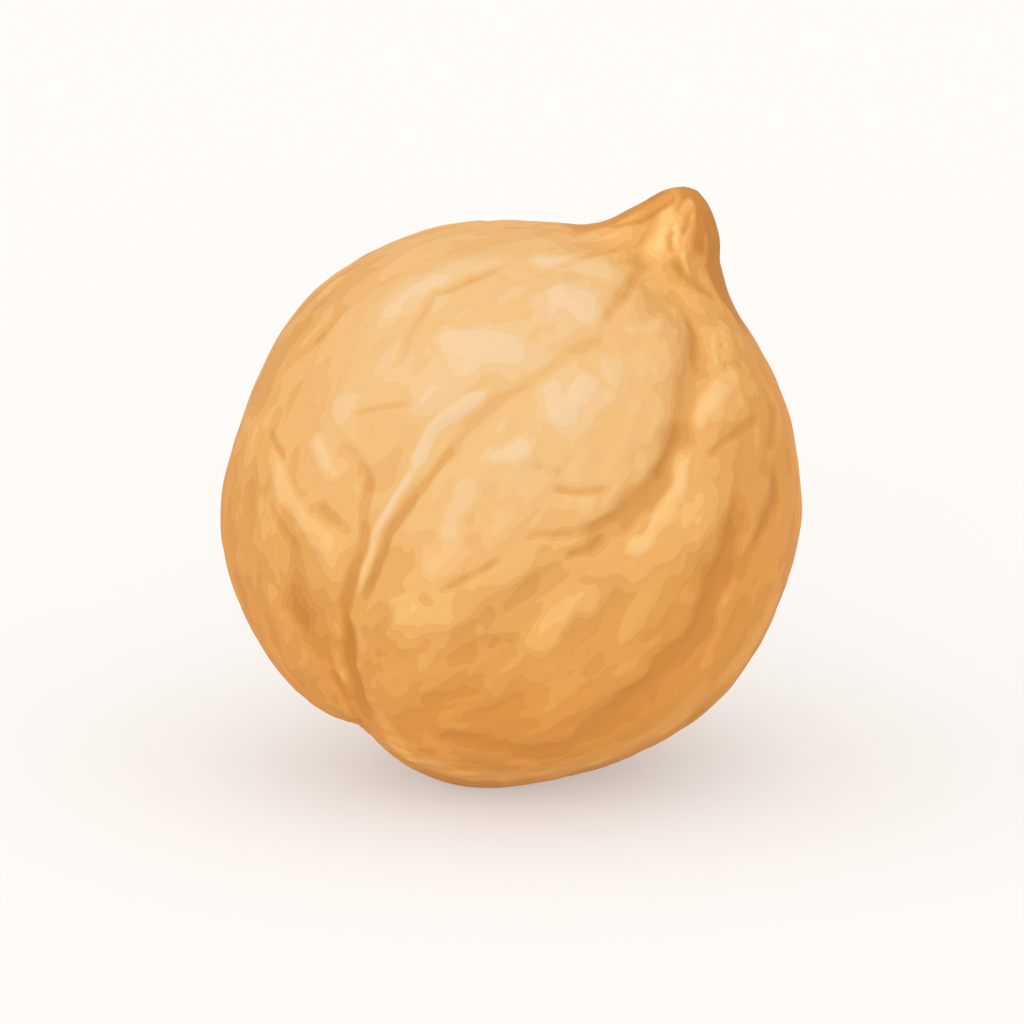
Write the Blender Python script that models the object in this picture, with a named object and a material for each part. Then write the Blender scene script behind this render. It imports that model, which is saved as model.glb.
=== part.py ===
"""A chickpea: one whole seed, resting on a small flat spot.

Metres, +Z up, with the origin in the middle of the resting spot.

The seed is shaped about its own middle in a frame of its own: u to the right, v up and w to
the front. A place on it is given by two angles: how far round the outline it is, from the
right and anticlockwise as seen from the front, and how far it turns to the front. The seed
then leans back, so that its front faces someone who looks down on it a little.
"""

import math

import bmesh
import bpy
import numpy as np
from mathutils import Matrix

MM = 0.001

# The body, without its beak
BODY_WIDTH = 9.92 * MM
BODY_HEIGHT = 9.84 * MM
BODY_DEPTH = 9.10 * MM

# The beak is the tip of the rootlet. Its left flank is longer than its right one.
BEAK_HEIGHT = 1.38 * MM
BEAK_LEFT_REACH = 0.74 * MM
BEAK_RIGHT_REACH = 0.90 * MM
BEAK_BLUNTNESS = 2.0
BEAK_ROUND_OUTLINE = 60.0
BEAK_TO_FRONT = 5.0

# The furrow between the two halves runs all round, and is deepest at the notch under the seed
FURROW_WIDTH = 0.80 * MM
MAIN_FURROW_DEPTH = 0.20 * MM
SIDE_FURROW_DEPTH = 0.12 * MM

# How it rests
RESTING_SPOT_WIDTH = 2.40 * MM
LEAN_BACK = math.radians(15)

# The mesh: the seed's surface starts as a cube of this many squares along each edge
SQUARES_ALONG_EDGE = 26

SKIN_COLOUR = (0.80, 0.43, 0.14, 1.0)
SKIN_ROUGHNESS = 0.55

# Swellings and hollows: round the outline, to the front, reach (all degrees), and height
SWELLINGS = (
    (24, 0, 24, 0.09 * MM),     # shoulder right of the beak
    (45, 5, 12, 0.08 * MM),     # foot of the beak's right flank
    (93, 0, 20, -0.03 * MM),    # saddle left of the beak
    (128, 0, 22, 0.06 * MM),    # upper left cheek
    (160, 0, 16, -0.10 * MM),   # hollow between the left cheeks
    (188, 0, 20, 0.07 * MM),    # lower left cheek
    (237, 0, 13, -0.18 * MM),   # notch where the furrow leaves the front
    (261, 0, 12, 0.07 * MM),    # swelling beside the notch
    (284, 0, 20, -0.12 * MM),   # flattened base
)

# Routes of the furrows as (u, v, w) in millimetres, of which only the direction counts
MAIN_FURROW = (
    (2.1, 3.0, 3.0), (1.1, 2.8, 3.6), (0.0, 1.9, 4.2), (-1.1, 1.1, 4.3), (-1.9, 0.2, 4.2),
    (-2.4, -0.8, 3.9), (-2.6, -1.8, 3.5), (-2.7, -2.7, 2.8), (-2.6, -3.8, 1.5), (-2.7, -4.1, 0.0),
)
BACK_FURROW = (
    (1.4, 3.9, -2.5), (-0.2, 2.4, -3.9), (-2.0, 0.2, -4.1), (-2.9, -2.1, -3.2),
    (-3.0, -3.7, -1.4), (-2.7, -4.1, 0.0),
)
SIDE_FURROW = (
    (0.9, -1.3, 4.3), (1.7, -0.4, 4.2), (2.5, 0.5, 3.9), (3.0, 1.7, 3.2), (3.1, 2.8, 2.4),
    (2.5, 3.7, 1.9),
)


def direction(round_outline, to_front):
    """The unit vector to a place given by its two angles in degrees."""
    around = math.radians(round_outline)
    forward = math.radians(to_front)
    return np.array([
        math.cos(around) * math.cos(forward),
        math.sin(around) * math.cos(forward),
        math.sin(forward),
    ])


def body_radius(directions):
    """How far the plain body reaches from its middle in each direction."""
    half_sizes = np.array([BODY_WIDTH, BODY_HEIGHT, BODY_DEPTH]) / 2
    return 1 / np.linalg.norm(directions / half_sizes, axis=1)


def swelling_height(directions):
    """All the swellings and hollows together."""
    height = np.zeros(len(directions))
    for round_outline, to_front, reach, peak in SWELLINGS:
        cosine = np.clip(directions @ direction(round_outline, to_front), -1, 1)
        away = np.degrees(np.arccos(cosine)) / reach
        height += peak * np.exp(-away**2)
    return height


def beak_height(directions):
    """The beak: a round-tipped cone that falls away faster on its left than on its right."""
    axis = direction(BEAK_ROUND_OUTLINE, BEAK_TO_FRONT)
    leftward = direction(BEAK_ROUND_OUTLINE + 90, 0)
    along = directions @ axis
    aside = body_radius(directions) * np.sqrt(np.clip(1 - along**2, 0, 1))
    left_share = 0.5 + 0.5 * np.clip(directions @ leftward / 0.1, -1, 1)
    reach = BEAK_RIGHT_REACH + (BEAK_LEFT_REACH - BEAK_RIGHT_REACH) * left_share
    cone = BEAK_HEIGHT * np.exp(-(aside / reach) ** BEAK_BLUNTNESS)
    return np.where(along > 0, cone, 0)


def smooth_route(points, steps=12):
    """Points along a smooth curve through the given ones (Catmull-Rom)."""
    points = np.array(points, float)
    before = np.vstack([2 * points[0] - points[1], points, 2 * points[-1] - points[-2]])
    curve = []
    for a, b, c, d in zip(before, before[1:], before[2:], before[3:]):
        for t in np.linspace(0, 1, steps, endpoint=False):
            curve.append(
                b + t * (c - a) / 2
                + t**2 * (a - 2.5 * b + 2 * c - d / 2)
                + t**3 * (1.5 * (b - c) + (d - a) / 2)
            )
    curve.append(points[-1])
    return np.array(curve)


def furrow_depth(directions, route, depth):
    """A soft valley that deepens from the start of its route to the end."""
    line = smooth_route(route)
    line /= np.linalg.norm(line, axis=1)[:, None]
    spread = np.linalg.norm(directions[:, None, :] - line[None, :, :], axis=2)
    away = spread.min(axis=1) * body_radius(directions) / (FURROW_WIDTH / 2)
    share_along = spread.argmin(axis=1) / len(line)
    return depth * share_along * np.exp(-away**2)


def seed_radius(directions):
    """How far the finished seed reaches from its middle in each direction."""
    return (
        body_radius(directions)
        + swelling_height(directions)
        + beak_height(directions)
        - np.maximum(
            furrow_depth(directions, MAIN_FURROW, MAIN_FURROW_DEPTH),
            furrow_depth(directions, BACK_FURROW, MAIN_FURROW_DEPTH),
        )
        - furrow_depth(directions, SIDE_FURROW, SIDE_FURROW_DEPTH)
    )


def blown_up_cube():
    """A cube with an even grid on each face, blown up to a ball of radius 1."""
    ball = bmesh.new()
    bmesh.ops.create_cube(ball, size=2)
    bmesh.ops.subdivide_edges(
        ball, edges=ball.edges, cuts=SQUARES_ALONG_EDGE - 1, use_grid_fill=True
    )
    for vert in ball.verts:
        even = [math.tan(side * math.pi / 4) for side in vert.co]
        vert.co = even
        vert.co.normalize()
    return ball


def shape_seed(ball):
    """Moves each point of the ball out to the seed's surface and leans the seed back."""
    directions = np.array([vert.co for vert in ball.verts])
    reach = seed_radius(directions)
    leaned = Matrix.Rotation(math.pi / 2 - LEAN_BACK, 3, "X")
    for vert, length in zip(ball.verts, reach):
        vert.co = leaned @ (vert.co * length)


def flatten_resting_spot(seed):
    """Cuts the flat spot into the seed's underside and puts the origin in its middle."""
    underside_radius = BODY_WIDTH * BODY_DEPTH / BODY_HEIGHT / 2
    half_spot = RESTING_SPOT_WIDTH / 2
    cut_depth = underside_radius - math.sqrt(underside_radius**2 - half_spot**2)
    cut_height = min(vert.co.z for vert in seed.verts) + cut_depth
    cut = bmesh.ops.bisect_plane(
        seed,
        geom=seed.verts[:] + seed.edges[:] + seed.faces[:],
        plane_co=(0, 0, cut_height),
        plane_no=(0, 0, 1),
        clear_inner=True,
    )
    rim = [item for item in cut["geom_cut"] if isinstance(item, bmesh.types.BMEdge)]
    spot = bmesh.ops.contextual_create(seed, geom=rim)["faces"][0]
    middle = spot.calc_center_median_weighted()
    bmesh.ops.translate(seed, verts=seed.verts, vec=-middle)
    bmesh.ops.recalc_face_normals(seed, faces=seed.faces)


def skin_material():
    """The seed's skin: pale orange and slightly waxy."""
    skin = bpy.data.materials.new("seed_skin")
    skin.use_nodes = True
    surface = skin.node_tree.nodes["Principled BSDF"]
    surface.inputs["Base Color"].default_value = SKIN_COLOUR
    surface.inputs["Roughness"].default_value = SKIN_ROUGHNESS
    surface.inputs["Metallic"].default_value = 0.0
    return skin


def make_chickpea():
    seed = blown_up_cube()
    shape_seed(seed)
    flatten_resting_spot(seed)
    mesh = bpy.data.meshes.new("chickpea")
    seed.to_mesh(mesh)
    seed.free()
    mesh.shade_smooth()
    mesh.materials.append(skin_material())
    bpy.context.scene.collection.objects.link(bpy.data.objects.new("chickpea", mesh))


for leftover in list(bpy.data.objects):
    bpy.data.objects.remove(leftover)
make_chickpea()
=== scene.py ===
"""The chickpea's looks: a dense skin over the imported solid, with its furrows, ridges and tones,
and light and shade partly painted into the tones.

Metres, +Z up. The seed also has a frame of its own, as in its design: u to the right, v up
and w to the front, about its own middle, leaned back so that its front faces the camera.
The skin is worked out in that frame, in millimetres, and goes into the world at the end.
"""

import math
import random
from collections import namedtuple

import bpy
import numpy as np
from mathutils import Matrix, Vector, noise
from mathutils.bvhtree import BVHTree


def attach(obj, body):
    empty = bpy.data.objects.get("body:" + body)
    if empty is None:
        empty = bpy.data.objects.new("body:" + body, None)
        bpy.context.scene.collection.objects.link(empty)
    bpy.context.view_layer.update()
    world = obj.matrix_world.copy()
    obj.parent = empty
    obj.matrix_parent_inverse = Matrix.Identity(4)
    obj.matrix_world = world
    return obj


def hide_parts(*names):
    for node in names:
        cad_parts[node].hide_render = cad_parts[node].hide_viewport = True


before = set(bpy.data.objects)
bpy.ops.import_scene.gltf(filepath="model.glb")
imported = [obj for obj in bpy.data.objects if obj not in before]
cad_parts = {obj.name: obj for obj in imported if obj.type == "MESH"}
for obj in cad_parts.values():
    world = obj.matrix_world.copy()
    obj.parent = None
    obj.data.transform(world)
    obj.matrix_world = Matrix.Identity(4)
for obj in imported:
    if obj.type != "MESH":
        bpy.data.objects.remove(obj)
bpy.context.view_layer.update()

MM = 0.001
NODE = "chickpea"

# How the seed rests, as in its design
LEAN_BACK = math.radians(15)
MIDDLE = Vector((0.17, 0.15, 4.71)) * MM
SEED_TO_WORLD = Matrix.Rotation(math.pi / 2 - LEAN_BACK, 3, "X")
WORLD_TO_SEED = SEED_TO_WORLD.transposed()

# The camera looks straight at the seed's front, from far off
LENS = 200.0
SENSOR = 36.0
FRAME_WIDTH = 17.68 * MM
EYE_DISTANCE = FRAME_WIDTH * LENS / SENSOR
AIM = Vector((0.02, -0.145, 0.0)) * MM

# The skin's mesh starts as a cube of this many squares along each edge, blown up to a ball
# and drawn together a little towards the front
SQUARES_ALONG_EDGE = 128
FRONT_PULL = 0.3
EVENING_ROUNDS = 6

# Ways out from the seed's middle: to its beak, and to the front and left square to that one
BEAK = Vector((0.50, 0.86, 0.09)).normalized()
FRONT = (Vector((0, 0, 1)) - BEAK * BEAK.z).normalized()
LEFT = FRONT.cross(BEAK)

# The seed's grain runs from the notch under it to its beak
NOTCH = Vector((-0.56, -0.80, 0.22)).normalized()
GRAIN = (BEAK - NOTCH).normalized()
GRAIN_LENGTH = 2.0      # how many times as long as wide the grain's features are
GRAIN_NARROWING = 0.4   # how far they narrow towards both ends, from 0 to 1
MEAN_RADIUS = 4.8       # millimetres

# A line on the skin: how far it stands out and how wide it reaches, in millimetres, how many steps
# paler it is, and its route. It sinks in or is darker where the number is below 0. Where a line
# sinks in, its darker tone is partly painted shade in the crease, and where it stands out, its
# paler tone is partly painted light on the ridge; the rest is the coat's own mottling.
Line = namedtuple("Line", "height reach paler route")

# Routes on the front are (right, up) from the seed's middle, as the camera sees them. Those
# along the outline are (right, up, front).
FURROW_LINES = (
    # The two creases of the main furrow, with a pale ridge between them
    Line(0.04, 0.11, 2.4, ((-0.3, 2.0), (-0.8, 1.7), (-1.2, 1.45), (-1.42, 1.15), (-1.55, 0.85),
                           (-1.75, 0.45))),
    Line(0.04, 0.08, 2.2, ((-1.6, 0.7), (-1.85, 0.3), (-2.12, -0.13), (-2.33, -0.52),
                           (-2.44, -0.95), (-2.65, -1.6))),
    Line(-0.03, 0.12, -1.2, ((1.75, 2.87), (1.35, 2.78), (0.9, 2.5), (0.4, 2.1), (-0.1, 1.85),
                             (-0.6, 1.45), (-1.0, 1.0))),
    Line(-0.05, 0.10, -1.5, ((-0.7, 1.35), (-1.25, 0.65), (-1.6, 0.2), (-1.9, -0.2), (-2.1, -0.5),
                             (-2.2, -0.8), (-2.35, -1.15), (-2.5, -1.55), (-2.65, -2.1))),
    Line(-0.05, 0.10, -1.4, ((-2.6, 0.8), (-2.45, 0.4), (-2.55, -0.2), (-2.53, -0.7), (-2.7, -1.15),
                             (-2.8, -1.5), (-2.85, -1.95), (-2.75, -2.5))),
    Line(-0.07, 0.16, -1.6, ((-2.8, -1.9), (-2.75, -2.8), (-2.6, -3.3), (-2.45, -3.85))),
    Line(-0.025, 0.08, -1.0, ((-3.1, -2.8), (-2.94, -3.15), (-2.68, -3.63), (-2.5, -3.9))),
    Line(0.01, 0.12, 0.8, ((-3.15, -1.9), (-3.0, -2.3), (-2.95, -2.8), (-2.75, -3.3))),
    Line(0.0, 0.20, 1.2, ((-2.35, -3.5), (-2.1, -3.95), (-1.85, -4.3), (-1.5, -4.55))),
    # The side furrow below the beak, and the pale ridge beside it
    Line(-0.04, 0.26, -1.2, ((2.4, 3.7), (2.85, 3.5), (3.15, 3.15), (3.2, 2.7), (3.05, 2.1),
                             (3.0, 1.6), (2.85, 1.1), (2.6, 0.5), (2.25, 0.05), (1.8, -0.35),
                             (1.35, -0.7), (0.85, -1.05))),
    Line(-0.02, 0.22, -0.8, ((1.6, -0.5), (0.85, -1.1), (0.4, -1.4), (-0.1, -1.75), (-0.7, -2.2),
                             (-1.2, -2.75))),
    Line(-0.025, 0.07, -1.0, ((3.05, 3.25), (3.2, 2.85), (3.15, 2.4))),
    Line(-0.025, 0.09, -0.9, ((2.95, 1.5), (2.8, 1.0), (2.5, 0.35))),
    Line(0.03, 0.14, 1.9, ((3.2, 1.05), (2.95, 0.7), (2.92, 0.3), (2.75, 0.03), (2.55, -0.26),
                           (2.3, -0.65), (1.85, -0.95))),
    Line(0.025, 0.35, 0.8, ((3.6, 0.2), (3.2, -0.2), (2.8, -0.6), (2.3, -1.0), (1.7, -1.4))),
    Line(0.02, 0.20, 1.0, ((1.6, -1.4), (1.25, -1.68), (0.85, -1.95), (0.55, -2.35), (0.4, -2.7))),
)
PALE_SWELLINGS = (
    # Soft swellings all over the front, paler partly as painted light on them
    Line(0.025, 0.26, 1.7, ((-1.2, 2.5), (-0.9, 2.8), (-0.3, 2.65), (0.3, 2.75))),
    Line(0.025, 0.17, 1.9, ((0.8, 3.8), (1.0, 3.5), (1.4, 3.42))),
    Line(0.025, 0.50, 0.8, ((0.6, 3.8), (1.0, 3.5), (1.5, 3.6))),
    Line(0.025, 0.17, 1.8, ((1.4, 2.25), (1.2, 1.9), (0.95, 1.6), (0.65, 1.45))),
    Line(0.025, 0.50, 0.8, ((2.0, 2.4), (1.3, 1.9), (0.5, 1.5))),
    Line(0.02, 0.20, 1.3, ((-0.9, 0.5), (-0.78, 0.1), (-1.0, -0.25), (-1.12, -0.7))),
    Line(0.01, 0.30, 0.9, ((-0.8, -0.6), (-1.15, -0.95), (-1.6, -1.1))),
    Line(0.01, 0.15, 0.9, ((-0.45, 0.68), (0.0, 0.9), (0.4, 1.05))),
    Line(0.0, 0.13, 0.7, ((0.65, 0.1), (1.1, 0.02), (1.5, 0.0))),
    Line(0.025, 0.25, 1.1, ((-2.85, 1.95), (-2.9, 1.6), (-3.1, 1.4))),
    Line(0.02, 0.14, 1.6, ((-3.4, 1.25), (-3.25, 0.8), (-3.0, 0.35))),
    Line(0.025, 0.20, 1.4, ((-4.15, 0.95), (-4.0, 0.5), (-3.85, 0.15), (-3.6, -0.25), (-3.3, -0.6),
                            (-2.95, -0.9))),
    Line(0.02, 0.30, 0.5, ((-1.9, -1.5), (-1.8, -2.0), (-2.0, -2.6))),
    Line(0.0, 0.40, 0.7, ((-2.2, -2.2), (-1.5, -2.0), (-0.9, -2.2), (-0.2, -2.1))),
    Line(0.02, 0.24, 0.9, ((-2.3, 2.9), (-1.8, 3.6), (-0.9, 4.05), (0.0, 4.25))),
    Line(0.01, 0.28, 1.5, ((0.2, 4.2), (0.8, 4.2), (1.5, 4.05), (2.0, 3.95))),
    Line(0.01, 0.30, 0.7, ((1.5, 2.4), (2.0, 2.35), (2.5, 2.55))),
    Line(0.01, 0.11, 0.9, ((1.9, 2.98), (2.3, 3.02), (2.65, 3.2))),
    Line(0.01, 0.28, 0.8, ((1.2, 3.95), (1.35, 3.55), (1.2, 3.1))),
    Line(0.01, 0.24, 0.8, ((3.3, 3.2), (3.45, 2.7), (3.4, 2.2))),
    Line(0.025, 0.16, 1.0, ((3.65, 3.2), (3.75, 2.75), (3.7, 2.45))),
    Line(0.02, 0.17, 1.4, ((4.0, 2.35), (3.63, 2.03), (3.37, 1.7), (3.15, 1.25))),
    Line(0.01, 0.32, 0.6, ((4.1, 1.9), (3.7, 1.7), (3.4, 1.4))),
)
CREASES = (
    # Single creases all over the front, and darker bands near its outline, partly shallow folds and
    # partly painted shade along the edge
    Line(-0.035, 0.09, -1.4, ((0.1, 4.2), (-0.5, 3.95), (-1.0, 3.72), (-1.35, 3.6), (-1.5, 3.3),
                              (-1.75, 2.95), (-1.85, 2.6), (-1.97, 2.35))),
    Line(-0.025, 0.06, -1.2, ((-2.8, 1.5), (-2.3, 1.65), (-1.65, 1.72))),
    Line(-0.02, 0.13, -0.8, ((-2.85, 3.65), (-3.05, 3.2), (-3.4, 2.8), (-3.8, 2.45), (-4.0, 2.2))),
    Line(-0.025, 0.08, -1.0, ((-4.2, 1.3), (-4.05, 1.0), (-3.9, 0.75))),
    Line(-0.025, 0.11, -1.0, ((2.4, 4.35), (2.2, 4.0), (1.95, 3.65), (1.55, 3.08))),
    Line(-0.025, 0.07, -1.2, ((0.7, 4.05), (1.3, 4.25), (2.0, 4.45))),
    Line(-0.02, 0.09, -1.2, ((4.35, 1.6), (4.0, 1.3), (3.65, 1.05), (3.35, 0.75))),
    Line(-0.01, 0.10, -0.9, ((0.3, 0.68), (0.6, 0.6), (0.95, 0.52))),
    Line(-0.025, 0.10, -1.2, ((0.65, 0.27), (1.2, 0.2), (1.75, 0.27))),
    Line(-0.025, 0.10, -1.0, ((0.15, -0.7), (0.5, -0.55), (1.1, -0.5), (1.6, -0.3), (2.0, -0.1))),
    Line(-0.025, 0.08, -1.0, ((0.9, -0.92), (1.3, -0.8), (1.7, -0.5))),
    Line(-0.02, 0.08, -1.0, ((-1.3, -1.55), (-0.8, -1.3), (-0.1, -0.92))),
    Line(-0.015, 0.14, -0.7, ((-1.25, -2.85), (-0.8, -2.6), (-0.3, -2.4), (0.2, -2.3))),
    Line(-0.01, 0.12, -0.6, ((-1.7, -3.4), (-1.0, -3.3), (-0.3, -3.2))),
    Line(-0.025, 0.22, -1.0, ((-1.6, -3.9), (-0.6, -4.15), (0.5, -4.3), (1.3, -4.2))),
    Line(-0.05, 0.30, -1.6, ((3.75, 0.55), (3.95, 0.0), (3.85, -0.5), (3.5, -1.5), (3.2, -2.2),
                             (2.7, -2.8), (2.1, -3.4), (1.5, -3.9), (0.8, -4.2))),
    Line(-0.02, 0.36, -1.0, ((-4.0, -1.3), (-3.6, -1.9), (-3.2, -2.4), (-2.9, -2.9))),
    Line(0.0, 0.13, -0.9, ((4.55, 1.75), (4.5, 1.3), (4.4, 0.85))),
    Line(-0.02, 0.16, -1.0, ((4.5, 0.85), (4.55, 0.2), (4.35, -0.4), (4.05, -1.0), (3.9, -1.5))),
    Line(-0.02, 0.10, -0.9, ((-4.2, 0.1), (-3.9, -0.5), (-3.6, -0.8))),
    Line(-0.015, 0.11, -1.0, ((-3.4, 0.0), (-3.0, -0.3), (-2.75, -0.55))),
    Line(-0.025, 0.15, -0.9, ((-3.0, 1.05), (-2.7, 0.8), (-2.5, 0.4))),
)
BANDS_AND_PAINTED_RIMS = (
    # Paler and darker stretches that don't stand out or sink in: painted shade along the upper left
    # of the outline, painted reflected light along the bottom and lower right edges, and two darker
    # stretches on the front
    # Painted shade along the upper left of the outline
    Line(0.0, 0.45, -0.9, ((-4.6, 1.2), (-4.1, 2.3), (-3.6, 3.0), (-3.0, 3.6), (-2.3, 4.1),
                           (-1.5, 4.5))),
    # Painted reflected light along the bottom edge
    Line(0.0, 0.35, 1.3, ((-2.0, -4.2), (-1.4, -4.5), (-0.6, -4.7), (0.3, -4.7), (1.2, -4.55),
                          (2.0, -4.3))),
    Line(0.0, 0.50, -0.6, ((-1.8, 2.2), (-2.1, 1.5), (-2.2, 0.8), (-2.25, 0.0))),
    Line(0.0, 0.40, -0.6, ((-3.4, -0.3), (-3.5, -1.2), (-3.7, -2.2))),
    # Painted reflected light along the lower right edge
    Line(0.0, 0.35, 1.0, ((4.75, -1.0), (4.3, -2.2), (3.4, -3.3), (2.2, -4.15), (1.0, -4.55))),
)
BEAK_LINES = (
    # Its tip and right flank are full, and the whole of it is darker than the body
    Line(0.05, 0.50, 0.0, ((2.2, 5.3, 0.5), (2.7, 5.5, 0.5), (3.1, 5.5, 0.5), (3.4, 5.1, 0.5),
                           (3.55, 4.6, 0.5), (3.65, 4.1, 0.5))),
    Line(0.0, 0.65, -1.1, ((3.0, 6.2, 0.5), (2.8, 5.3, 0.7), (2.65, 4.7, 1.0), (2.55, 4.0, 1.5),
                           (2.5, 3.6, 2.0))),
    # The right flank, darkened as painted shade, with a paler lens in it
    Line(0.0, 0.24, -3.1, ((3.05, 5.45), (3.2, 5.3), (3.33, 5.12), (3.38, 4.8), (3.41, 4.4),
                           (3.49, 4.05), (3.7, 3.6), (4.0, 3.1))),
    Line(0.0, 0.36, -2.5, ((2.6, 5.85, 0.7), (3.1, 5.55, 0.7), (3.45, 5.2, 0.7), (3.57, 4.85, 0.75),
                           (3.6, 4.4, 0.8), (3.65, 4.0, 0.8), (3.9, 3.4, 0.6), (4.3, 2.8, 0.6))),
    Line(0.02, 0.08, 1.9, ((3.36, 4.8), (3.37, 4.45), (3.36, 4.1))),
    Line(-0.02, 0.10, -1.3, ((2.75, 4.3), (2.95, 4.0), (3.3, 3.7), (3.6, 3.5))),
    # The dark left flank
    Line(0.0, 0.26, -1.9, ((2.9, 5.6, 0.7), (2.55, 5.4, 0.75), (2.1, 5.13, 0.75), (1.7, 4.92, 0.75),
                           (1.2, 4.82, 0.75), (0.7, 4.85, 0.75))),
    Line(-0.03, 0.06, -1.6, ((3.0, 5.4), (2.6, 5.1), (2.2, 4.88), (1.6, 4.74))),
    Line(0.02, 0.07, 1.0, ((2.75, 5.35), (2.35, 5.08), (1.95, 4.86))),
    # Pale lobes down its front, with thin creases between them
    Line(0.03, 0.30, 1.0, ((3.1, 5.4), (2.9, 5.0), (2.72, 4.6), (2.6, 4.1))),
    Line(0.04, 0.17, 1.1, ((2.85, 5.2), (2.68, 4.9), (2.5, 4.6), (2.42, 4.3), (2.5, 4.0))),
    Line(0.03, 0.07, 1.3, ((2.7, 4.85), (2.6, 4.6), (2.55, 4.3))),
    Line(0.03, 0.05, 1.6, ((2.85, 4.85), (2.84, 4.6), (2.85, 4.35))),
    Line(0.02, 0.06, 1.2, ((3.1, 5.3), (3.13, 5.05), (3.1, 4.85))),
    Line(0.02, 0.05, 1.4, ((2.95, 4.4), (3.0, 4.15), (3.08, 3.9))),
    Line(-0.04, 0.04, -1.9, ((3.05, 5.38), (2.93, 5.15), (2.83, 4.9))),
    Line(-0.03, 0.04, -1.7, ((3.12, 5.15), (3.03, 4.85), (2.95, 4.6))),
    Line(-0.03, 0.04, -1.4, ((2.8, 4.7), (2.74, 4.5), (2.76, 4.3))),
)

# Routes on the back are (longitude, latitude) in degrees about the beak, from the front
# leftward and towards the beak
BACK_LINES = (
    # The main furrow goes on round the back to the notch, with a branch and pale ridges
    Line(-0.07, 0.13, -1.7, ((168, 58), (164, 38), (160, 20), (158, 0), (154, -20), (152, -40),
                             (146, -62))),
    Line(-0.05, 0.10, -1.5, ((158, 16), (149, 2), (144, -15), (141, -35), (143, -54))),
    Line(0.05, 0.15, 1.7, ((171, 44), (167, 26), (164, 6), (161, -12), (160, -26))),
    Line(0.05, 0.17, 1.5, ((152, -4), (149, -18), (147, -34), (143, -52))),
    # Broad pale swellings and the creases between them
    Line(0.04, 0.40, 1.1, ((186, 32), (189, 16), (194, -2), (193, -14))),
    Line(0.03, 0.34, 1.0, ((206, 6), (211, -14), (213, -32))),
    Line(0.03, 0.34, 1.0, ((133, 36), (128, 20), (127, 6))),
    Line(0.04, 0.30, 1.1, ((174, -26), (180, -40), (186, -52))),
    Line(0.03, 0.36, 0.9, ((232, 20), (236, 2), (238, -14))),
    Line(-0.05, 0.12, -1.4, ((194, 50), (200, 30), (204, 12), (203, 0))),
    Line(-0.05, 0.11, -1.4, ((219, 26), (225, 6), (227, -14), (224, -28))),
    Line(-0.04, 0.12, -1.3, ((118, 12), (115, -8), (119, -26), (127, -44))),
    Line(-0.04, 0.10, -1.2, ((178, 2), (183, -14), (190, -28), (200, -40))),
    Line(-0.04, 0.10, -1.2, ((243, 40), (239, 24), (241, 10))),
    Line(-0.04, 0.10, -1.2, ((140, 44), (144, 30), (143, 18))),
    Line(-0.06, 0.12, -1.6, ((104, 34), (106, 16), (103, -4), (107, -24), (116, -42))),
    Line(0.05, 0.15, 1.6, ((110, 28), (111, 10), (109, -8))),
    Line(0.04, 0.30, 1.1, ((124, -4), (129, -20), (134, -34))),
    Line(-0.05, 0.11, -1.5, ((128, 52), (121, 38), (117, 24))),
)

# The skin's tones in full light from the darkest to the palest (red, green, blue), the
# number of steps they are split into, and how softly one step runs into the next
TONES = (
    (0.308, 0.127, 0.027),
    (0.359, 0.155, 0.036),
    (0.394, 0.187, 0.052),
    (0.454, 0.234, 0.074),
    (0.488, 0.285, 0.110),
    (0.502, 0.312, 0.136),
    (0.511, 0.355, 0.200),
)
TONE_STEPS = 11
TONE_SPAN = 3.5         # how far the tones go either side of the middle one
STEP_EDGE = 0.03
RAGGEDNESS = 1.15       # how many steps the noise in the skin moves their edges

# Painted light and shade: the seed is painted palest on the side facing the key light, and its tone
# falls away from there as painted shade. The back is lifted again, so that it isn't the darkest
# part.
PAINTED_LIGHT_SIDE = Vector((-0.14, 0.53, 0.84)).normalized()
PAINTED_SHADE_FAR_TONE = -2.37        # steps, before any lift
PAINTED_LIGHT_LIFT = 4.8
PAINTED_LIGHT_FALL = 1.5         # the power by which the lift falls away from the pale side
BACK_LIFT = 2.6
BACK_DEPTH = 0.7        # how far to the back, as a share of the radius, the lift is whole
# Painted fill light: what the colour is multiplied by away from the pale side, which brightens the
# shaded side and deepens its orange, and the power by which that grows
PAINTED_FILL_GAIN = (1.69, 1.69, 1.54)
PAINTED_FILL_RISE = 1.4

# Noise over the skin: the size of its features in millimetres, its octaves and its seed
Noise = namedtuple("Noise", "size octaves seed")
WOBBLE = Noise(0.45, 2, 1)      # makes the edges of the lines waver
PATCHES = Noise(0.80, 3, 2)
STREAKS = Noise(0.32, 2, 3)
NOISE_SHIFT = Vector((7.3, -3.1, 5.7))
# How far the patches and streaks stand out in millimetres, and how many steps paler they are: the
# raised ones are paler, partly mottling and partly painted light on them
PATCH_HEIGHT = 0.030
STREAK_HEIGHT = 0.010
PATCH_PALER = 0.66
STREAK_PALER = 0.30

# A line fades over a share of its length at both ends, and is narrower there by another
FADE_SHARE = 0.18
END_NARROWING = 0.5
WOBBLE_SHARE = 0.5      # how much of a line's width the noise adds or takes

# Creases and ridges drawn at random for the sides and the back. One whose middle would be
# further to the front than this share of the radius is left out.
WILD_DRAWS = 90
WILD_SEED = 11
WILD_SIDE = 0.12
WILD_CREASES = 0.55     # the share of them that sinks in
# What each is drawn from: angles in degrees, and the rest as in Line
WILD_LONGITUDES = (60, 300)
WILD_LATITUDES = (-60, 55)
WILD_LENGTHS = (14, 40)
WILD_DRIFTS = (-10, 10)
WILD_WAVERS = (-3, 3)
WILD_CREASE_REACHES = (0.07, 0.16)
WILD_RIDGE_REACHES = (0.12, 0.30)
WILD_HEIGHTS = (0.02, 0.04)
WILD_TONES = (0.7, 1.4)

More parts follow.
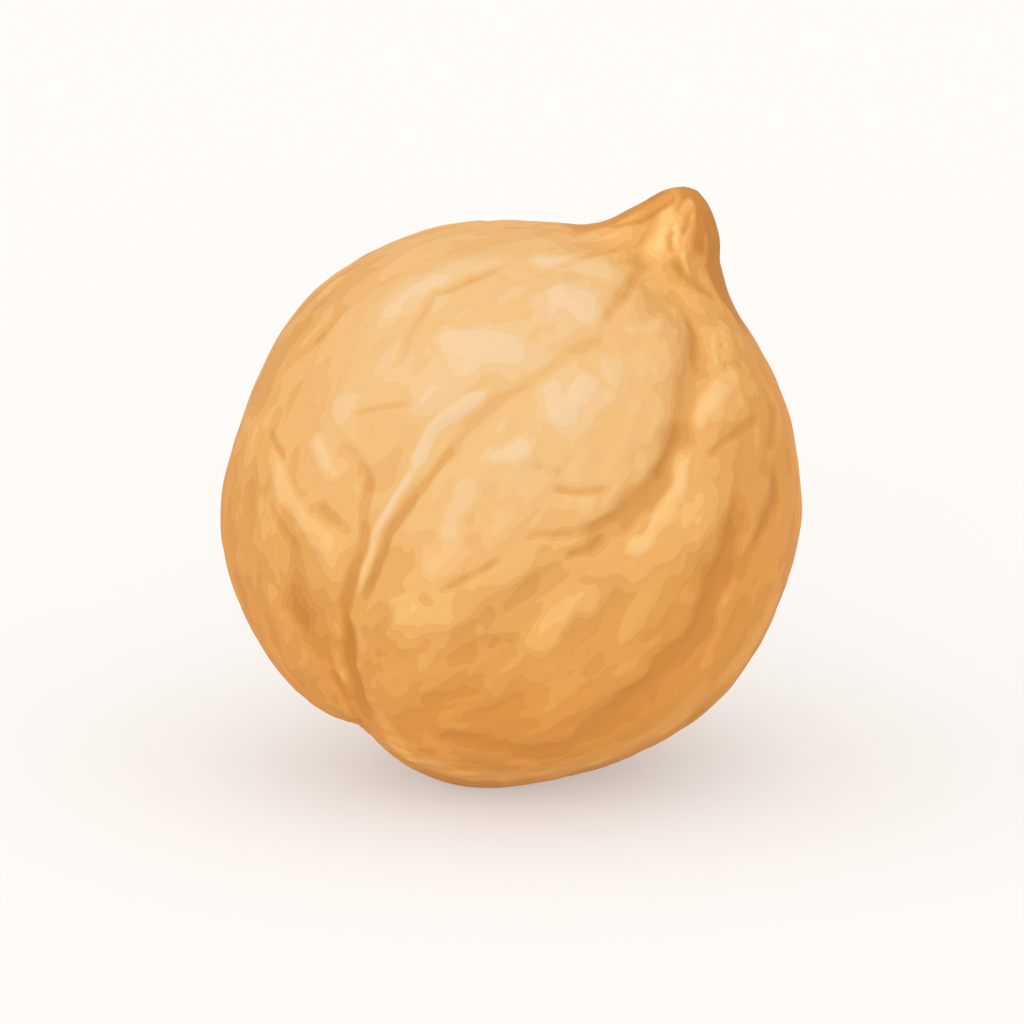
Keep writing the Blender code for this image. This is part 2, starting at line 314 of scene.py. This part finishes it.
# The relief fades out where the skin comes down to the resting spot, between these heights
REST_CLEARANCE = 0.02   # millimetres
REST_FADE = 0.35        # millimetres

# The skin's surface: the noise at the edges of its tones, its pores and its gloss
RAGGED_SCALE = 2.4      # features to a millimetre
RAGGED_DETAIL = 1.5
PORE_SCALE = 9 / MM     # nine to a millimetre
PORE_DETAIL = 3.0
PORE_STRENGTH = 0.25
PORE_DEPTH = 0.02 * MM
SKIN_ROUGHNESS = 0.6
SKIN_GLOSS = 0.08

# The floor and the room
FLOOR_HALF_WIDTH = 1.0  # metres
FLOOR_COLOUR = (0.383, 0.374, 0.365, 1)
FLOOR_GLOW = (1.0, 0.98, 0.96, 1)
FLOOR_GLOW_STRENGTH = 0.40
ROOM_COLOUR = (0.99, 0.965, 0.94, 1)
ROOM_STRENGTH = 1.0


def to_world(point):
    """A point of the seed's own frame in millimetres, in the world in metres."""
    return MIDDLE + SEED_TO_WORLD @ (Vector(point) * MM)


def to_seed(point):
    """A point of the world in metres, in the seed's own frame in millimetres."""
    return WORLD_TO_SEED @ (Vector(point) - MIDDLE) / MM


EYE = to_world(AIM / MM + Vector((0, 0, EYE_DISTANCE / MM)))


def smooth_solid():
    """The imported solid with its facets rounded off, for rays to meet."""
    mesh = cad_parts[NODE].data.copy()
    helper = bpy.data.objects.new("helper", mesh)
    bpy.context.scene.collection.objects.link(helper)
    weld = helper.modifiers.new("weld", "WELD")
    weld.merge_threshold = 0.001 * MM
    rounding = helper.modifiers.new("rounding", "SUBSURF")
    rounding.levels = 2
    tree = BVHTree.FromObject(helper, bpy.context.evaluated_depsgraph_get())
    bpy.data.objects.remove(helper)
    bpy.data.meshes.remove(mesh)
    return tree


def ball_grid(squares):
    """Unit vectors and squares of a cube's even grid blown up to a ball, its sides joined."""
    ticks = np.tan(np.linspace(-math.pi / 4, math.pi / 4, squares + 1))
    across, up = np.meshgrid(ticks, ticks, indexing="ij")
    sides = []
    for first in range(3):
        for sign in (1, -1):
            side = np.empty(across.shape + (3,))
            side[..., first] = sign
            side[..., (first + 1) % 3] = sign * across
            side[..., (first + 2) % 3] = up
            sides.append(side.reshape(-1, 3))
    points = np.concatenate(sides)
    points /= np.linalg.norm(points, axis=1)[:, None]
    row = squares + 1
    corner = (np.arange(squares)[:, None] * row + np.arange(squares)).ravel()
    square = np.column_stack([corner, corner + row, corner + row + 1, corner + 1])
    faces = np.concatenate([square + side * row * row for side in range(len(sides))])
    unique, index = np.unique(np.round(points, 7), axis=0, return_inverse=True)
    return unique, index.reshape(-1)[faces]


def skin_base(solid, directions):
    """Where rays from the middle in these directions leave the solid, in the seed's frame."""
    reach = np.empty(len(directions))
    for i, way in enumerate(directions):
        hit = solid.ray_cast(MIDDLE, SEED_TO_WORLD @ Vector(way))
        reach[i] = hit[3] / MM
    return directions * reach[:, None]


def evened(points, faces):
    """The points, each moved towards the mean of its neighbours, a few times over."""
    edges = [faces[:, [corner, (corner + 1) % 4]] for corner in range(4)]
    ends = np.concatenate(edges)
    ends = np.concatenate([ends, ends[:, ::-1]])
    count = np.bincount(ends[:, 0], minlength=len(points))[:, None]
    for _ in range(EVENING_ROUNDS):
        total = np.column_stack([
            np.bincount(ends[:, 0], points[ends[:, 1], axis], len(points)) for axis in range(3)
        ])
        points = 0.5 * points + 0.5 * total / count
    return points


def normals_of(points, faces):
    """Each point's outward normal."""
    one = points[faces[:, 2]] - points[faces[:, 0]]
    other = points[faces[:, 3]] - points[faces[:, 1]]
    slopes = np.cross(one, other)
    total = np.zeros_like(points)
    for corner in range(4):
        for axis in range(3):
            total[:, axis] += np.bincount(faces[:, corner], slopes[:, axis], len(points))
    return total / np.linalg.norm(total, axis=1)[:, None]


def smooth_route(points, spacing=0.03):
    """Points along a smooth curve through the given ones (Catmull-Rom), about evenly spaced."""
    points = np.array(points, float)
    padded = np.vstack([2 * points[0] - points[1], points, 2 * points[-1] - points[-2]])
    curve = []
    for a, b, c, d in zip(padded, padded[1:], padded[2:], padded[3:]):
        steps = max(2, int(np.linalg.norm(c - b) / spacing))
        for t in np.linspace(0, 1, steps, endpoint=False):
            curve.append(
                b + t * (c - a) / 2
                + t**2 * (a - 2.5 * b + 2 * c - d / 2)
                + t**3 * (1.5 * (b - c) + (d - a) / 2)
            )
    curve.append(points[-1])
    return curve


def seen_route(solid, route):
    """The places of the skin that the camera sees along a (right, up) route."""
    places = []
    for right, up in smooth_route(route):
        ray = to_world((right, up, 0)) - EYE
        hit = solid.ray_cast(EYE, ray.normalized())
        if hit[0] is not None:
            places.append(to_seed(hit[0]))
    return np.array(places)


def pole_way(longitude, latitude):
    """A direction by its turn about the beak's axis, from the front leftward, and its rise
    towards the beak, both in degrees."""
    turn, rise = math.radians(longitude), math.radians(latitude)
    around = FRONT * math.cos(turn) + LEFT * math.sin(turn)
    return around * math.cos(rise) + BEAK * math.sin(rise)


def pole_route(solid, route):
    """The places of the skin along a (longitude, latitude) route."""
    places = []
    for longitude, latitude in smooth_route(route, spacing=0.4):
        hit = solid.ray_cast(MIDDLE, SEED_TO_WORLD @ pole_way(longitude, latitude))
        places.append(to_seed(hit[0]))
    return np.array(places)


def noise_field(points, kind):
    """Smooth noise of one kind, from about -1 to 1, at each point."""
    shift = NOISE_SHIFT * kind.seed
    falloff, growth = 1.0, 2.0
    return np.array([
        noise.fractal(Vector(point) / kind.size + shift, falloff, growth, kind.octaves)
        for point in points
    ])


def eased(share):
    """Runs smoothly from 0 to 1 as the share does."""
    share = np.clip(share, 0, 1)
    return share * share * (3 - 2 * share)


def lay_line(points, wobble, places, line, height, tone):
    """Adds one line's height and tone to the fields, fading at both its ends."""
    middle = places.mean(axis=0)
    span = np.linalg.norm(places - middle, axis=1).max() + 3 * line.reach
    near = np.flatnonzero(np.linalg.norm(points - middle, axis=1) < span)
    if not len(near):
        return
    gaps = np.linalg.norm(points[near, None, :] - places[None, :, :], axis=2)
    along = gaps.argmin(axis=1) / (len(places) - 1)
    fade = eased(along / FADE_SHARE) * eased((1 - along) / FADE_SHARE)
    narrowed = 1 - END_NARROWING * (1 - fade)
    reach = line.reach * narrowed * (1 + WOBBLE_SHARE * wobble[near])
    away = gaps.min(axis=1) / reach
    height[near] += line.height * fade * np.exp(-away**2)
    tone[near] += line.paler * fade * np.exp(-away**4)


def grain_places(points):
    """The points laid out so that noise on them is drawn out along the grain: closer together
    along it than they are, and spread out round it near its ends."""
    grain = np.array(GRAIN)
    from_notch = points / np.linalg.norm(points, axis=1)[:, None] - np.array(NOTCH)
    along = from_notch @ grain
    around = from_notch - along[:, None] * grain
    around /= np.linalg.norm(around, axis=1)[:, None] ** GRAIN_NARROWING
    return MEAN_RADIUS * (around + along[:, None] * grain / GRAIN_LENGTH)


def wild_lines(solid):
    """Creases and ridges along the grain at random, round the sides and the back."""
    draw = random.Random(WILD_SEED)
    for _ in range(WILD_DRAWS):
        longitude = draw.uniform(*WILD_LONGITUDES)
        latitude = draw.uniform(*WILD_LATITUDES)
        length = draw.uniform(*WILD_LENGTHS)
        drift = draw.uniform(*WILD_DRIFTS)
        sinks = draw.random() < WILD_CREASES
        sign = -1 if sinks else 1
        reach = draw.uniform(*(WILD_CREASE_REACHES if sinks else WILD_RIDGE_REACHES))
        height = draw.uniform(*WILD_HEIGHTS) * sign
        paler = draw.uniform(*WILD_TONES) * sign
        route = [
            (
                longitude + drift * share + draw.uniform(*WILD_WAVERS),
                latitude + length * (share - 0.5),
            )
            for share in (0, 0.33, 0.66, 1)
        ]
        if pole_way(longitude, latitude).z < WILD_SIDE:
            yield Line(height, reach, paler, route), pole_route(solid, route)


def lay_all_lines(solid, points, height, tone):
    """Adds every line to the fields."""
    wobble = noise_field(points, WOBBLE)
    for line in FURROW_LINES + PALE_SWELLINGS + CREASES + BANDS_AND_PAINTED_RIMS + BEAK_LINES:
        flat = len(line.route[0]) == 2
        places = seen_route(solid, line.route) if flat else np.array(smooth_route(line.route))
        lay_line(points, wobble, places, line, height, tone)
    for line in BACK_LINES:
        lay_line(points, wobble, pole_route(solid, line.route), line, height, tone)
    for line, places in wild_lines(solid):
        lay_line(points, wobble, places, line, height, tone)


def skin_fields(solid, points):
    """At each point, the skin's relief in millimetres, its tone in steps with painted light and
    shade in it, how far its colour is brightened by the painted fill light, and its place in the
    grain's layout."""
    height = np.zeros(len(points))
    tone = np.zeros(len(points))
    lay_all_lines(solid, points, height, tone)
    grain = grain_places(points)
    patches = noise_field(grain, PATCHES)
    streaks = noise_field(grain, STREAKS)
    height += PATCH_HEIGHT * patches + STREAK_HEIGHT * streaks
    tone += PATCH_PALER * patches + STREAK_PALER * streaks
    ways = points / np.linalg.norm(points, axis=1)[:, None]
    # Painted light and shade: paler towards the side facing the key light, darker away from it,
    # with the back lifted again
    facing = ways @ np.array(PAINTED_LIGHT_SIDE)
    tone += PAINTED_SHADE_FAR_TONE + PAINTED_LIGHT_LIFT * np.clip(facing, 0, 1) ** PAINTED_LIGHT_FALL
    tone += BACK_LIFT * eased(-ways[:, 2] / BACK_DEPTH)
    # How much painted fill light the colour gets, growing away from the pale side
    painted_fill_share = np.clip(1 - facing, 0, 1) ** PAINTED_FILL_RISE
    return height, tone, painted_fill_share, grain


def rest_flat(points, height):
    """Keeps the relief off the resting spot."""
    rises = np.array([to_world(point).z for point in points]) / MM
    return height * eased((rises - REST_CLEARANCE) / REST_FADE)


def store_field(mesh, name, kind, part, values):
    """Keeps one value for each point of the mesh, for its material to read."""
    field = mesh.attributes.new(name, kind, "POINT")
    field.data.foreach_set(part, values.astype(np.float32).ravel())


def make_skin():
    """The seed's whole visible surface, in one mesh."""
    solid = smooth_solid()
    directions, faces = ball_grid(SQUARES_ALONG_EDGE)
    directions[:, 2] += FRONT_PULL
    directions /= np.linalg.norm(directions, axis=1)[:, None]
    base = evened(skin_base(solid, directions), faces)
    height, tone, painted_fill_share, grain = skin_fields(solid, base)
    height = rest_flat(base, height)
    skin = base + normals_of(base, faces) * height[:, None]
    places = np.array([to_world(point) for point in skin])
    places[:, 2] = np.maximum(places[:, 2], 0)
    mesh = bpy.data.meshes.new("chickpea_skin")
    mesh.from_pydata(places.tolist(), [], faces.tolist())
    mesh.shade_smooth()
    store_field(mesh, "tone", "FLOAT", "value", tone)
    store_field(mesh, "painted_fill_share", "FLOAT", "value", painted_fill_share)
    store_field(mesh, "grain", "FLOAT_VECTOR", "vector", grain)
    mesh.materials.append(skin_material())
    seed = bpy.data.objects.new("chickpea_skin", mesh)
    bpy.context.scene.collection.objects.link(seed)
    return seed


def add_node(tree, kind, **inputs):
    """A shader node with its inputs set or linked by name."""
    node = tree.nodes.new(kind)
    for name, value in inputs.items():
        socket = node.inputs[name.replace("_", " ")]
        if isinstance(value, bpy.types.NodeSocket):
            tree.links.new(value, socket)
        else:
            socket.default_value = value
    return node


def tone_ramp(tree, tone):
    """The colour of each tone, with a soft edge from one step to the next."""
    scaled = add_node(
        tree,
        "ShaderNodeMapRange",
        Value=tone,
        From_Min=RAGGEDNESS / 2 - TONE_SPAN,
        From_Max=RAGGEDNESS / 2 + TONE_SPAN,
    )
    ramp = add_node(tree, "ShaderNodeValToRGB", Fac=scaled.outputs["Result"])
    shares = np.linspace(0, 1, TONE_STEPS)
    anchors = np.linspace(0, 1, len(TONES))
    colours = np.column_stack([np.interp(shares, anchors, channel) for channel in zip(*TONES)])
    stops = ramp.color_ramp.elements
    stops[0].position = 0
    stops[0].color = (*colours[0], 1)
    stops[1].position = 1
    stops[1].color = (*colours[-1], 1)
    for step in range(1, TONE_STEPS):
        for side, colour in ((-1, colours[step - 1]), (1, colours[step])):
            stop = stops.new((step + side * STEP_EDGE) / TONE_STEPS)
            stop.color = (*colour, 1)
    return ramp.outputs["Color"]


def read_field(tree, name, output="Fac"):
    """The field of that name, as kept on the mesh."""
    node = tree.nodes.new("ShaderNodeAttribute")
    node.attribute_name = name
    return node.outputs[output]


def sum_of(tree, one, other, times):
    """one + other * times."""
    node = tree.nodes.new("ShaderNodeMath")
    node.operation = "MULTIPLY_ADD"
    tree.links.new(other, node.inputs[0])
    node.inputs[1].default_value = times
    tree.links.new(one, node.inputs[2])
    return node.outputs["Value"]


def with_painted_fill(tree, colour):
    """The colour, brightened and deepened by painted fill light where the skin faces away from the
    pale side.
    """
    mix = tree.nodes.new("ShaderNodeMix")
    mix.data_type = "RGBA"
    mix.blend_type = "MULTIPLY"
    mix.clamp_result = False
    colours = [socket for socket in mix.inputs if socket.type == "RGBA"]
    tree.links.new(read_field(tree, "painted_fill_share"), mix.inputs["Factor"])
    tree.links.new(colour, colours[0])
    colours[1].default_value = (*PAINTED_FILL_GAIN, 1)
    return next(socket for socket in mix.outputs if socket.type == "RGBA")


def skin_material():
    """The seed's waxy skin: stepped orange tones with painted light and shade in them, ragged
    edges, pores and a soft gloss.
    """
    material = bpy.data.materials.new("seed_skin")
    material.use_nodes = True
    tree = material.node_tree
    surface = tree.nodes["Principled BSDF"]
    surface.inputs["Roughness"].default_value = SKIN_ROUGHNESS
    surface.inputs["Specular IOR Level"].default_value = SKIN_GLOSS
    grain = read_field(tree, "grain", "Vector")
    ragged = add_node(
        tree, "ShaderNodeTexNoise", Vector=grain, Scale=RAGGED_SCALE, Detail=RAGGED_DETAIL
    )
    tone = sum_of(tree, read_field(tree, "tone"), ragged.outputs["Fac"], RAGGEDNESS)
    tree.links.new(with_painted_fill(tree, tone_ramp(tree, tone)), surface.inputs["Base Color"])
    place = tree.nodes.new("ShaderNodeTexCoord").outputs["Object"]
    pores = add_node(
        tree, "ShaderNodeTexNoise", Vector=place, Scale=PORE_SCALE, Detail=PORE_DETAIL
    )
    bump = add_node(
        tree,
        "ShaderNodeBump",
        Height=pores.outputs["Fac"],
        Strength=PORE_STRENGTH,
        Distance=PORE_DEPTH,
    )
    tree.links.new(bump.outputs["Normal"], surface.inputs["Normal"])
    return material


def floor_material():
    """Plain, pale and matt, with a faint glow that keeps its shadow light."""
    material = bpy.data.materials.new("floor")
    material.use_nodes = True
    surface = material.node_tree.nodes["Principled BSDF"]
    surface.inputs["Base Color"].default_value = FLOOR_COLOUR
    surface.inputs["Emission Color"].default_value = FLOOR_GLOW
    surface.inputs["Emission Strength"].default_value = FLOOR_GLOW_STRENGTH
    surface.inputs["Roughness"].default_value = 1.0
    surface.inputs["Specular IOR Level"].default_value = 0.0
    return material


def make_floor():
    """A plain pale floor, far wider than the view."""
    mesh = bpy.data.meshes.new("floor")
    half = FLOOR_HALF_WIDTH
    corners = [(-half, -half, 0), (half, -half, 0), (half, half, 0), (-half, half, 0)]
    mesh.from_pydata(corners, [], [(0, 1, 2, 3)])
    mesh.materials.append(floor_material())
    floor = bpy.data.objects.new("floor", mesh)
    bpy.context.scene.collection.objects.link(floor)


def add_sun(name, strength, spread, towards):
    """A light from far off, from the given way in the seed's own frame. The wider its spread
    in degrees, the softer it is."""
    lamp = bpy.data.lights.new(name, "SUN")
    lamp.energy = strength
    lamp.angle = math.radians(spread)
    sun = bpy.data.objects.new(name, lamp)
    sun.rotation_mode = "QUATERNION"
    sun.rotation_quaternion = (SEED_TO_WORLD @ Vector(towards)).to_track_quat("Z", "Y")
    bpy.context.scene.collection.objects.link(sun)


def light_studio():
    """An even pale room, a large soft light high in front and a low one that fills in."""
    world = bpy.data.worlds.new("studio")
    world.use_nodes = True
    background = world.node_tree.nodes["Background"]
    background.inputs["Color"].default_value = ROOM_COLOUR
    background.inputs["Strength"].default_value = ROOM_STRENGTH
    bpy.context.scene.world = world
    add_sun("key", strength=2.0, spread=130, towards=(-0.20, 0.62, 0.76))
    add_sun("fill", strength=1.3, spread=50, towards=(-0.15, -0.12, 0.98))


def make_camera():
    """A long lens that looks at the seed's front, a little from above."""
    lens = bpy.data.cameras.new("camera")
    lens.lens = LENS
    lens.sensor_width = SENSOR
    lens.clip_start = 0.01 * EYE_DISTANCE
    lens.clip_end = 100 * EYE_DISTANCE
    camera = bpy.data.objects.new("camera", lens)
    camera.location = EYE
    camera.rotation_euler = (math.pi / 2 - LEAN_BACK, 0, 0)
    bpy.context.scene.collection.objects.link(camera)
    bpy.context.scene.camera = camera


make_camera()
light_studio()
make_floor()
seed = make_skin()
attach(seed, "root")
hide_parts(NODE)
bpy.context.scene.view_settings.view_transform = "Standard"
